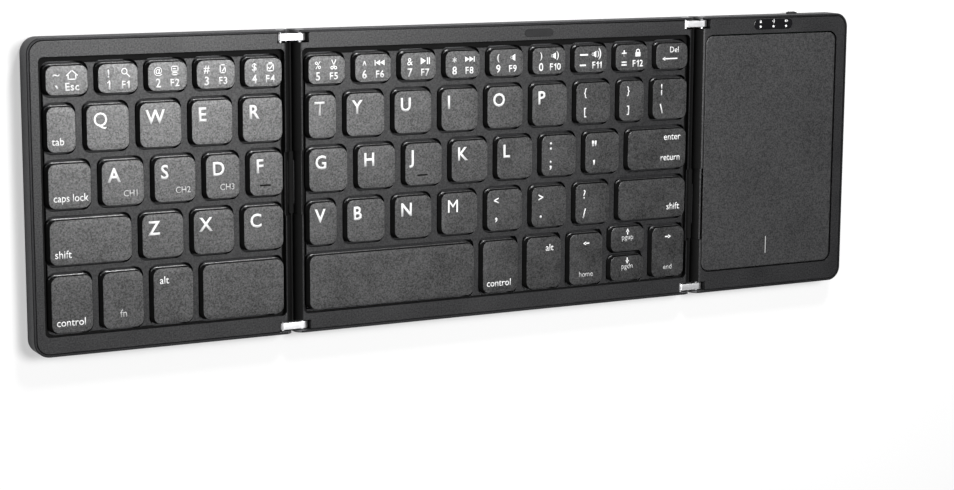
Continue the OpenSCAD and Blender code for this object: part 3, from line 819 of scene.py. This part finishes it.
def putFigures(box, words, style):
    x, y, top, tall = spotOn(box, style)
    marks = []
    cursor = 0
    for letter in words:
        mark = addWords(letter, 0, 0, 0, tall)
        low, high = spanOf(mark, 0)
        if letter == "1":  # the plain stroke gets a flag
            back, down, long, thick, turn = printing["flag"]
            flag = addBar(low / mm - back, tall / mm - down, long, thick, turn)
            mark = giveFinish(joinPieces("one", [mark, flag]), "whitePrint")
            low, high = spanOf(mark, 0)
        marks.append(moveBy(mark, cursor - low, 0))
        cursor += high - low + printing["space"] * tall
    whole = joinPieces("figures", marks)
    left, right = spanOf(whole, 0)
    return moveBy(whole, x - (left + right) / 2, y - tall / 2, top - printing["sunk"])


def putDash(box, style):
    x, y, top, long = spotOn(box, style)
    bar = moveBy(addBar(0, 0, long / mm, printing["dashThick"]), x, y, top - printing["sunk"])
    return giveFinish(bar, "whitePrint")


def putArrow(box, style, turn):  # before its turn it points to the left
    x, y, top, long = spotOn(box, style)
    thick, deep, head = printing["arrowThick"], printing["thick"], printing["arrowHead"]
    shaft = addBlock("shaft", (-long / 2 + head * 0.6, -thick / 2, 0),
                     (long / 2, thick / 2, deep))
    tip = turnBy(addRod("tip", (0, 0, deep / 2), head * 0.62, deep, sides=3), 90)
    moveBy(tip, -long / 2 - spanOf(tip, 0)[0], 0)
    arrow = turnBy(joinPieces("arrow", [shaft, tip]), turn)
    return giveFinish(moveBy(arrow, x, y, top - printing["sunk"]), "whitePrint")


legends = {
    "tab_key": [("tab", "word")],
    "caps_key": [("caps lock", "word")],
    "left_shift_key": [("shift", "word")],
    "left_ctrl_key": [("control", "word")],
    "right_shift_key": [("shift", "rightWord")],
    "enter_key": [("return", "rightWord"), ("enter", "upperWord")],
    "right_ctrl_key": [("control", "word")],
    "fn_key": [("fn", "fnWord")],
    "left_alt_key": [("alt", "highWord")],
    "right_alt_key": [("alt", "highRightWord")],
}
channels = {"letter_keys_left_home": ("CH1", "CH2", "CH3")}  # small grey words on the first keys
letters = {
    "letter_keys_left_top": "QWER",
    "letter_keys_left_home": "ASDF",
    "letter_keys_left_bottom": "ZXC",
    "letter_keys_centre_top": "TYUIOP",
    "letter_keys_centre_home": "GHJKL",
    "letter_keys_centre_bottom": "VBNM",
}
figures = {  # sign above, its height in mm, figure, label
    "esc_key": [("~", 0.8, "`", "Esc")],
    "number_keys_left": [("!", 2.6, "1", "F1"), ("@", 2.8, "2", "F2"),
                         ("#", 2.5, "3", "F3"), ("$", 2.9, "4", "F4")],
    "number_keys_centre": [("%", 2.4, "5", "F5"), ("^", 1.5, "6", "F6"), ("&", 2.4, "7", "F7"),
                           ("*", 1.7, "8", "F8"), ("(", 2.8, "9", "F9"), (")", 2.8, "0", "F10"),
                           ("dash", 3.2, "dash", "F11"), ("+", 2.1, "=", "F12")],
}
signs = {  # each sign with its height in mm
    "punctuation_keys": [("{", 3.4, "[", 3.3), ("}", 3.4, "]", 3.3), ("\u00a6", 3.9, "\\", 3.3),
                         (":", 2.6, ";", 3.2), ("\"", 1.9, "'", 1.8), ("<", 2.1, ",", 1.7),
                         (">", 2.1, ".", 0.9), ("?", 3.0, "/", 3.3)],
}
arrows = {"left_arrow_key": (0, "home"), "up_arrow_key": (-90, "pgup"),
          "down_arrow_key": (90, "pgdn"), "right_arrow_key": (180, "end")}


icons = {  # each part: kind, x, y, width or size, height or turn, in mm from the middle of the icon
    "Esc": [("slant", -0.95, 0.45, 2.3, 42), ("slant", 0.95, 0.45, 2.3, -42),
            ("bar", -1.2, -0.75, 0.32, 1.5), ("bar", 1.2, -0.75, 0.32, 1.5),
            ("bar", 0, -1.4, 2.7, 0.32)],
    "F1": [("ring", -0.35, 0.4, 0.85, 18), ("slant", 0.85, -0.8, 1.5, -45)],
    "F2": [("frame", 0, 0.6, 2.4, 1.8), ("bar", -0.15, 0.6, 1.0, 0.28),
           ("frame", 0, -0.95, 2.1, 0.95)],
    "F3": [("frame", -0.1, 0, 2.0, 2.8), ("slant", 0.35, 0.1, 2.2, 55)],
    "F4": [("frame", 0, -0.15, 2.4, 2.5), ("bar", 0, 1.25, 1.2, 0.5),
           ("slant", -0.45, -0.4, 0.9, -45), ("slant", 0.35, 0, 1.7, 50)],
    "F5": [("ring", -0.6, -1.05, 0.42, 12), ("ring", 0.6, -1.05, 0.42, 12),
           ("slant", 0.22, 0.35, 2.5, 66), ("slant", -0.22, 0.35, 2.5, 114)],
    "F6": [("bar", -1.75, 0, 0.3, 1.8), ("tip", -0.5, 0, 1.05, 180), ("tip", 1.1, 0, 1.05, 180)],
    "F7": [("tip", -1.0, 0, 1.3, 0), ("bar", 0.8, 0, 0.38, 2.2), ("bar", 1.5, 0, 0.38, 2.2)],
    "F8": [("tip", -1.1, 0, 1.05, 0), ("tip", 0.5, 0, 1.05, 0), ("bar", 1.75, 0, 0.3, 1.8)],
    "F9": [("tip", 0.2, 0, 1.35, 180), ("bar", -0.5, 0, 0.6, 1.0)],
    "F10": [("tip", -0.5, 0, 1.3, 180), ("bar", -1.2, 0, 0.6, 1.0), ("wave", 0.95, 0, 2.1, 0)],
    "F11": [("tip", -1.0, 0, 1.3, 180), ("bar", -1.7, 0, 0.6, 1.0), ("wave", 0.45, 0, 1.7, 0),
            ("wave", 1.2, 0, 2.7, 0)],
    "F12": [("ring", 0, 0.5, 0.62, 16), ("bar", 0, -0.6, 2.0, 1.5)],
    "link": [("ring", -1.0, 0, 0.3, 10), ("wave", 0, 0, 1.7, 0), ("wave", 0.8, 0, 2.8, 0)],
    "cell": [("frame", 0, 0, 3.0, 2.0), ("bar", 1.7, 0, 0.4, 1.0), ("bar", -0.5, 0, 1.3, 1.2)],
}


def addTip(x, y, size, turn):  # one corner points along the turn
    tip = addRod("tip", (0, 0, printing["thick"] / 2), size * mm, printing["thick"], sides=3)
    return moveBy(turnBy(tip, turn - 90), x * mm, y * mm)


def addRing(x, y, size, sides):
    clearSelection()
    bpy.ops.mesh.primitive_torus_add(
        major_radius=size * mm, minor_radius=printing["line"] / 2 * mm, major_segments=sides,
        minor_segments=4)
    ring = bpy.context.object
    flat = Matrix.Diagonal((1, 1, printing["thick"] / (printing["line"] * mm), 1))
    ring.data.transform(Matrix.Translation((x * mm, y * mm, printing["thick"] / 2)) @ flat)
    return ring


def addBar(x, y, wide, tall, turn=0):
    bar = addBlock("bar", (-wide * mm / 2, -tall * mm / 2, 0),
                   (wide * mm / 2, tall * mm / 2, printing["thick"]))
    place = Matrix.Translation((x * mm, y * mm, 0))
    bar.data.transform(place @ Matrix.Rotation(math.radians(turn), 4, "Z"))
    return bar


def addFrame(x, y, wide, tall):
    line = printing["line"]
    bars = []
    for side in (-1, 1):
        bars.append(addBar(x + side * (wide / 2 - line / 2), y, line, tall))
        bars.append(addBar(x, y + side * (tall / 2 - line / 2), wide, line))
    return bars


def addWave(x, y, tall):  # a sound wave, drawn with a bracket
    wave = addWords(")", 0, 0, 0, tall * mm, "CENTER")
    low, high = spanOf(wave, 1)
    return moveBy(wave, x * mm, y * mm - (low + high) / 2, printing["sunk"])


def addIcon(label, x, y, z):
    parts = []
    for kind, px, py, size, other in icons[label]:
        if kind == "tip":
            parts.append(addTip(px, py, size, other))
        elif kind == "ring":
            parts.append(addRing(px, py, size, other))
        elif kind == "slant":
            parts.append(addBar(px, py, size, printing["slant"], other))
        elif kind == "frame":
            parts += addFrame(px, py, size, other)
        elif kind == "wave":
            parts.append(addWave(px, py, size))
        else:
            parts.append(addBar(px, py, size, other))
    icon = moveBy(joinPieces("icon", parts), x, y, z - printing["sunk"])
    return giveFinish(icon, "whitePrint")


def printFigures(box, upper, tall, figure, label):
    if upper == "dash":
        marks = [putDash(box, "dash"), putDash(box, "lowDash")]
    else:
        marks = [putSign(box, upper, "numberSign", tall)]
        if figure in printing["signFigures"]:
            marks.append(putSign(box, figure, "figure", printing["signFigures"][figure]))
        else:
            marks.append(putFigures(box, figure, "figure"))
    words, icon = ("escLabel", "escIcon") if label == "Esc" else ("label", "icon")
    return marks + [putFigures(box, label, words), addIcon(label, *spotOn(box, icon)[:3])]


def printKeys(node):
    boxes = keyBoxes(node)
    marks = [putWords(boxes[0], words, style) for words, style in legends.get(node, [])]
    marks += [putWords(box, letter, "letter")
              for box, letter in zip(boxes, letters.get(node, ""))]
    marks += [putWords(box, word, "channel") for box, word in zip(boxes, channels.get(node, ()))]
    for box, row in zip(boxes, figures.get(node, [])):
        marks += printFigures(box, *row)
    for box, (upper, tall, lower, lowTall) in zip(boxes, signs.get(node, [])):
        marks += [putSign(box, upper, "sign", tall), putSign(box, lower, "lowSign", lowTall)]
    if node == "delete_key":
        marks += [putSign(boxes[0], "Del", "deleteWord"), putArrow(boxes[0], "deleteArrow", 0)]
    if node in arrows:
        turn, word = arrows[node]
        deep = boxes[0]["high"].y - boxes[0]["low"].y
        style = "halfArrow" if deep < printing["halfKey"] else "arrow"
        marks += [putArrow(boxes[0], style, turn), putWords(boxes[0], word, style + "Word")]
    if marks:
        settle(joinPieces(node + "_print", marks), node, extra=True, smooth=None)


def buildKeys():
    measureInk()
    keyNodes = [node for node, slot in slotOf.items() if slot == "key_plastic"]
    for node in keyNodes:
        buildCaps(node)
        printKeys(node)
    for model in capModels.values():
        discard(model)
    print("keys done:", len(keyNodes), "groups,", len(capModels), "cap sizes")


# touchpad with its printed line

touchpad = {
    "corner": 3.0 * mm,
    "cornerSteps": 8,
    "edge": 0.22 * mm,
    "edgeSteps": 3,
    "rimIn": 0.5 * mm,
    "level": 0.93,  # normals from which a face has the grain; the edges below it get painted shade
    "mark": (118.8 * mm, -36.65 * mm, -30.45 * mm, 0.13 * mm),  # x, front end, back end, half width
    "markUp": 0.02 * mm,
    "markSunk": 0.01 * mm,
}


def buildTouchpad():
    low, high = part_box("touchpad")
    top = [v.co for v in nodes["touchpad"].data.vertices if near(v.co.z, high.z)]
    plate = addBlock("touchpad_plate", (min(v.x for v in top), min(v.y for v in top), low.z),
                     (max(v.x for v in top), max(v.y for v in top), high.z))
    startEdit(plate)
    bevelEdges(runsAlong("Z"), touchpad["corner"], touchpad["cornerSteps"])
    bevelEdges(liesAt("Z", high.z), touchpad["edge"], touchpad["edgeSteps"])
    pickFaces(lambda c, n: n.z > 0.99 and near(c.z, high.z))
    bpy.ops.mesh.inset(thickness=touchpad["rimIn"], depth=0)
    endEdit()
    settle(plate, "touchpad", "padGrain", "deepShade")
    # the pad's rounded edge gets painted shade
    for face in plate.data.polygons:
        face.material_index = 0 if face.normal.z > touchpad["level"] else 1
    x, y0, y1, half = touchpad["mark"]
    mark = addBlock("touchpad_mark", (x - half, y0, high.z - touchpad["markSunk"]),
                    (x + half, y1, high.z + touchpad["markUp"]))
    bevelPiece(mark, (runsAlong("Z"), half * 0.8, 3))
    settle(mark, "touchpad", "greyPrint", extra=True, smooth=None)
    print("touchpad done")


# indicator window with three lights

window = {
    "thick": 0.7 * mm,
    "soft": 0.14 * mm,
    "lights": ((114.1, "F12"), (119.6, "link"), (125.1, "cell")),  # x in mm, icon above it
    "lightY": 45.05,
    "lightR": 0.42 * mm,
    "lightThick": 0.04 * mm,
    "lightSoft": 0.015 * mm,
    "signUp": 1.85,
    "signSize": 0.38,
}


def buildWindow():
    low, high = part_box("led_window")
    pane = addStadium("led_window_pane", (low.x, low.y, high.z - window["thick"]), high)
    bevelPiece(pane, (liesAt("Z", high.z), window["soft"], 2))
    settle(pane, "led_window", "smokedWindow")
    lights = []
    for x, label in window["lights"]:
        light = addRod("light", (x * mm, window["lightY"] * mm, high.z), window["lightR"],
                       window["lightThick"], sides=20)
        bevelPiece(light, (lambda a, b: a.z > high.z and b.z > high.z, window["lightSoft"], 2))
        sign = addIcon(label, 0, 0, 0)
        small = Matrix.Diagonal((window["signSize"], window["signSize"], 1, 1))
        place = (x * mm, (window["lightY"] + window["signUp"]) * mm, high.z)
        sign.data.transform(Matrix.Translation(place) @ small)
        lights += [light, sign]
    dots = joinPieces("indicator_lights", lights)
    settle(dots, "led_window", "whitePrint", extra=True)
    print("window done")


# hinges: link bars, pins with flat heads, and the spines in painted shade

hinge = {
    "barWide": 2.3 * mm,
    "barEnd": 1.9 * mm,  # radius
    "barSteps": 10,
    "barWeld": 0.01 * mm,
    "barSoft": 0.18 * mm,
    "barSharp": 50,  # degrees from which its edges are softened
    "holeR": 0.79 * mm,
    "holeSides": 24,
    "spineSoft": 0.1 * mm,
    "pinR": 0.75 * mm,
    "pinIn": 6.4 * mm,
    "pinSoft": 0.15 * mm,
    "headR": 1.5 * mm,
    "headT": 0.4 * mm,
    "headSoft": 0.08 * mm,
    "dimpleR": 0.45 * mm,
    "dimpleSlope": 0.12 * mm,
    "dimple": 0.15 * mm,
}


def buildLinkBars(node):
    low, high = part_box(node)
    wide = hinge["barWide"]
    middle, pinZ = (low.x + high.x) / 2, (low.z + high.z) / 2
    reach = (high.x - low.x) / 2 - hinge["barEnd"]
    bars = []
    for front, back in ((high.y - wide, high.y), (low.y, low.y + wide)):
        bar = addBlock("bar", (low.x, front, low.z), (high.x, back, high.z))
        startEdit(bar)
        bevelEdges(runsAlong("Y"), hinge["barEnd"] * almostAll, hinge["barSteps"])
        mergeDoubles(hinge["barWeld"])
        endEdit()
        cutWith(bar, [addRod("hole", (middle + side * reach, (front + back) / 2, pinZ),
                             hinge["holeR"], wide * 1.5, "Y", hinge["holeSides"])
                      for side in (-1, 1)])
        softenEdges(bar, hinge["barSoft"], 2, hinge["barSharp"])
        bars.append(bar)
    return joinPieces(node[:-1] + "_pair", bars)


def modelPin():
    headR, headT, pinIn = hinge["headR"], hinge["headT"], hinge["pinIn"]
    pin = addRod("pin", (0, -headT / 2, 0), headR, headT, "Y")
    startEdit(pin)
    bevelEdges(liesAt("Y", 0), hinge["headSoft"], 2)
    pickFaces(lambda c, n: n.y < -0.9)
    bpy.ops.mesh.inset(thickness=headR - hinge["pinR"], depth=0)
    extrudeBy(0, headT - pinIn, 0)
    bevelEdges(liesAt("Y", -pinIn), hinge["pinSoft"], 2)
    pickFaces(lambda c, n: n.y > 0.999 and near(c.y, 0))
    bpy.ops.mesh.inset(thickness=headR - hinge["headSoft"] - hinge["dimpleR"], depth=0)
    bpy.ops.mesh.inset(thickness=hinge["dimpleSlope"], depth=-hinge["dimple"])
    endEdit()
    return pin


def buildPins(node, model):
    low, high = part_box(node)
    places = sorted({low.x + hinge["headR"], high.x - hinge["headR"]})
    if near(places[0], places[-1]):
        places = places[:1]
    pins = []
    for x in places:
        for end, turn in ((high.y, 0), (-high.y, 180)):
            pin = turnBy(copyPiece(model, "pin"), turn)
            pins.append(moveBy(pin, x, end, (low.z + high.z) / 2))
    return joinPieces(node + "_turned", pins)


def buildHinges():
    for side in ("left", "right"):
        pair = buildLinkBars(side + "_link_bars")
        settle(pair, side + "_link_bars", "hingeSteel")
        spine = weldedCopy(side + "_hinge_spine", side + "_hinge_bridge")
        softenEdges(spine, hinge["spineSoft"], housing["steps"], housing["sharp"])
        # the spine gets painted shade, as dark as the fold's valley
        settle(spine, side + "_hinge_spine", "deepShade")
    model = modelPin()
    for node in ("centre_pins", "left_pins", "right_pins"):
        group = buildPins(node, model)
        settle(group, node, "hingeSteel")
    discard(model)
    print("hinges done")


# rubber feet and the buffer pad

rubber = {
    "footLong": 12.0 * mm,
    "footWide": 2.5 * mm,
    "footSoft": 0.18 * mm,
    "padSoft": 0.09 * mm,
}


def buildRubber():
    long, wide = rubber["footLong"], rubber["footWide"]
    for side in ("centre", "left", "right"):
        low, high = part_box(side + "_feet")
        pads = []
        for x in (low.x, high.x - long):
            for y in (low.y, high.y - wide):
                pad = addStadium("foot", (x, y, low.z), (x + long, y + wide, high.z))
                pads.append(bevelPiece(pad, (liesAt("Z", low.z), rubber["footSoft"], 3)))
        group = joinPieces(side + "_foot_pads", pads)
        settle(group, side + "_feet", "footRubber")
    low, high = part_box("buffer_pad")
    pad = addStadium("buffer_strip", low, high)
    bevelPiece(pad, (liesAt("Z", high.z), rubber["padSoft"], 2))
    settle(pad, "buffer_pad", "footRubber")
    print("rubber done")


# knob of the power switch, with its ribs outside and its tab inside

knobShape = {
    "out": 0.8 * mm,  # how far it stands out of the wall
    "inside": 2.1 * mm,  # from there to the tab
    "corner": 0.3 * mm,
    "soft": 0.1 * mm,
    "ribs": (-1, 0, 1),
    "ribPitch": 0.95 * mm,
    "ribHalf": 0.24 * mm,
    "ribOut": 0.16 * mm,
    "ribEnd": 0.2 * mm,  # from the knob's top and foot
    "tabHalf": (0.9 * mm, 0.4 * mm),
    "overlap": 0.1 * mm,
}


def buildKnob():
    low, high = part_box("switch_knob")
    middle, pinZ = (low.x + high.x) / 2, (low.z + high.z) / 2
    tabEnd = high.y - knobShape["out"] - knobShape["inside"]
    front = high.y - knobShape["ribOut"]
    soft, overlap = knobShape["soft"], knobShape["overlap"]
    body = addBlock("knob", (low.x, tabEnd, low.z), (high.x, front, high.z))
    bevelPiece(body, (runsAlong("Y"), knobShape["corner"], 3), (liesAt("Y", front), soft, 2))
    ribs = []
    half, end = knobShape["ribHalf"], knobShape["ribEnd"]
    for i in knobShape["ribs"]:
        x = middle + i * knobShape["ribPitch"]
        rib = addBlock("rib", (x - half, front - overlap, low.z + end),
                       (x + half, high.y, high.z - end))
        ribs.append(bevelPiece(rib, (liesAt("Y", high.y), soft, 2)))
    half, thick = knobShape["tabHalf"]
    tab = addBlock("tab", (middle - half, low.y, pinZ - thick),
                   (middle + half, tabEnd + overlap, pinZ + thick))
    bevelPiece(tab, (liesAt("Y", low.y), soft, 2))
    knob = joinPieces("switch_knob_cap", [body, tab] + ribs)
    settle(knob, "switch_knob", "knobPlastic")
    print("knob done")


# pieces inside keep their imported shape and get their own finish

innerFinish = {
    "plate_steel": "blackPlate",
    "dome_rubber": "domeRubber",
    "ribbon_film": "ribbonFilm",
    "circuit_board": "boardGreen",
    "battery_pouch": "pouchFoil",
    "socket_metal": "socketShade",
    "switch_plastic": "knobPlastic",
}


def finishInner():
    inner = [node for node, slot in slotOf.items()
             if slot in innerFinish and not nodes[node].hide_render]
    for node in inner:
        giveFinish(nodes[node], innerFinish[slotOf[node]])
    print("inner pieces finished:", len(inner))


# studio: a pale floor, a key light high over the back right, a small light from behind, a weak fill

studio = {
    "floorSize": 6.0,
    "floorRough": 0.9,
    "floorShine": 0.1,
    "floorTone": 0.55,
    "floorShade": 0.4,  # what other rays meet, so that the dark housing isn't lit from below
    "floorLift": (0.36, 1.0),  # near the keyboard, and far from it where the lamps don't reach
    "liftReach": (0.45, 1.3),
    "worldFill": 0.08,
    "mirrorFill": 0.12,
    "lamps": {  # place, aim, size, power
        "keyLight": ((0.160, 0.160, 0.796), (0.0, 0.0, 0.0), 0.32, 6.5),
        "topLight": ((0.06, 0.56, 0.40), (-0.08, 0.0, 0.0), 0.14, 2.2),
        "sideLight": ((-0.62, 0.05, 0.50), (-0.15, 0.0, 0.0), 0.5, 2.0),  # lifts the left wall
    },
}


def backdropRay(tree):  # 1 for a ray that shows the background, and little in a reflection
    ray = tree.nodes.new("ShaderNodeLightPath").outputs
    mirrored = mathOf(tree, "MULTIPLY", ray["Is Glossy Ray"], studio["mirrorFill"])
    seen = mathOf(tree, "MAXIMUM", ray["Is Camera Ray"], mirrored)
    return mathOf(tree, "MAXIMUM", seen, ray["Is Transmission Ray"])


def addLight(name, place, aim, size, power):
    clearSelection()
    bpy.ops.object.light_add(type="AREA", location=place)
    lamp = bpy.context.object
    lamp.name = name
    lamp.rotation_euler = (Vector(aim) - Vector(place)).to_track_quat("-Z", "Y").to_euler()
    lamp.data.size = size
    lamp.data.energy = power
    lamp.visible_camera = False


def buildFloor():
    clearSelection()
    bpy.ops.mesh.primitive_plane_add(size=studio["floorSize"])
    floor = bpy.context.object
    floor.name = "floor"
    paper, tree, shader = newMaterial("palePaper")
    tones = (studio["floorShade"], studio["floorTone"])
    feed(tree, shader, {
        "Roughness": studio["floorRough"], "Specular IOR Level": studio["floorShine"],
        "Base Color": rangeOf(tree, backdropRay(tree), tones, (0, 1))})
    away = tree.nodes.new("ShaderNodeVectorMath")
    away.operation = "LENGTH"
    feed(tree, away, {0: tree.nodes.new("ShaderNodeTexCoord").outputs["Object"]})
    rise = rangeOf(tree, away.outputs["Value"], studio["floorLift"], studio["liftReach"])
    glow = addNode(tree, "Emission", {
        "Strength": mathOf(tree, "MULTIPLY", backdropRay(tree), rise)})
    both = addNode(tree, "AddShader", {0: shader.outputs[0], 1: glow.outputs[0]})
    feed(tree, tree.nodes["Material Output"], {"Surface": both.outputs[0]})
    floor.data.materials.append(paper)


def buildWorld():
    world = bpy.data.worlds.new("paleRoom")
    world.use_nodes = True
    scene.world = world
    tree = world.node_tree
    soft = tree.nodes.new("ShaderNodeLightPath").outputs["Is Diffuse Ray"]
    fill = mathOf(tree, "MULTIPLY", soft, studio["worldFill"])
    feed(tree, tree.nodes["Background"], {
        "Color": (1, 1, 1, 1), "Strength": mathOf(tree, "MAXIMUM", backdropRay(tree), fill)})


def buildStudio():
    buildFloor()
    buildWorld()
    for name, lamp in studio["lamps"].items():
        addLight(name, *lamp)
    print("studio done")


addCamera()
buildHousings()
buildKeys()
buildTouchpad()
buildWindow()
buildHinges()
buildRubber()
buildKnob()
finishInner()
buildStudio()
